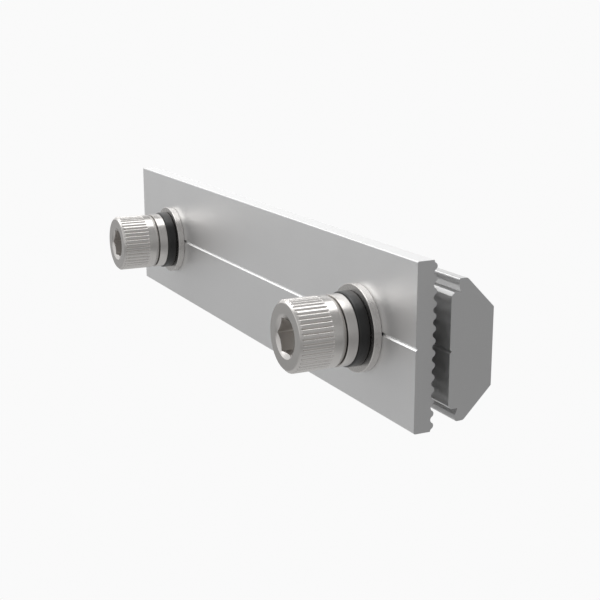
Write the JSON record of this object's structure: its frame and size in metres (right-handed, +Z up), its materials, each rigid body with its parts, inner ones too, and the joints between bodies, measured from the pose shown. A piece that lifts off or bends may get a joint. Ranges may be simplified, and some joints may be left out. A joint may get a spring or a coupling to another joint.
{
  "type": "solar rail connector",
  "caption": "Clamp-type connector for solar mounting rails: toothed outer plate and T-shaped inner bar drawn together by knurled socket cap screws on washers.",
  "frame": {"origin": "middle of the outer plate, on the plane of its tooth tips, where the plate meets the outside of the two rails", "axes": "+X along the rails, +Y from the screw heads into the rail, +Z up"},
  "size_m": [0.1381, 0.0288, 0.0294],
  "materials": {
    "plate_aluminium": "satin as extruded",
    "bar_aluminium": "satin as extruded, sawn ends",
    "screw_stainless": "bright cold-formed, knurled head",
    "washer_stainless": "bright stamped",
    "spring_stainless": "bright wound",
    "black_rubber": "matt moulded"
  },
  "bodies": {
    "plate": {"outer_plate": "plate_aluminium"},
    "rings": {"flat_washer_left": "washer_stainless", "rubber_ring_left": "black_rubber", "lock_washer_left": "spring_stainless", "flat_washer_right": "washer_stainless", "rubber_ring_right": "black_rubber", "lock_washer_right": "spring_stainless"},
    "screw_left": {"screw_left": "screw_stainless"},
    "screw_right": {"screw_right": "screw_stainless"},
    "bar": {"inner_bar": "bar_aluminium"}
  },
  "joints": [
    {"name": "slot_shift", "type": "slide", "parent": "plate", "child": "rings", "axis": [1, 0, 0], "range_m": [-0.0033, 0.0002]},
    {"name": "screw_left_turn", "type": "hinge", "parent": "rings", "child": "screw_left", "pos_m": [-0.04625, 0, -0.0007], "axis": [0, 1, 0], "range_deg": [-1440, 518.4]},
    {"name": "screw_right_turn", "type": "hinge", "parent": "rings", "child": "screw_right", "pos_m": [0.04935, 0, -0.0007], "axis": [0, 1, 0], "range_deg": [-1440, 518.4]},
    {"name": "bar_travel", "type": "slide", "parent": "rings", "child": "bar", "axis": [0, 1, 0], "range_m": [-0.0018, 0.005]}
  ],
  "couplings": [
    {"joint": "screw_left_turn", "follows": "bar_travel", "rad_per_m": -5026.5},
    {"joint": "screw_right_turn", "follows": "bar_travel", "rad_per_m": -5026.5}
  ]
}
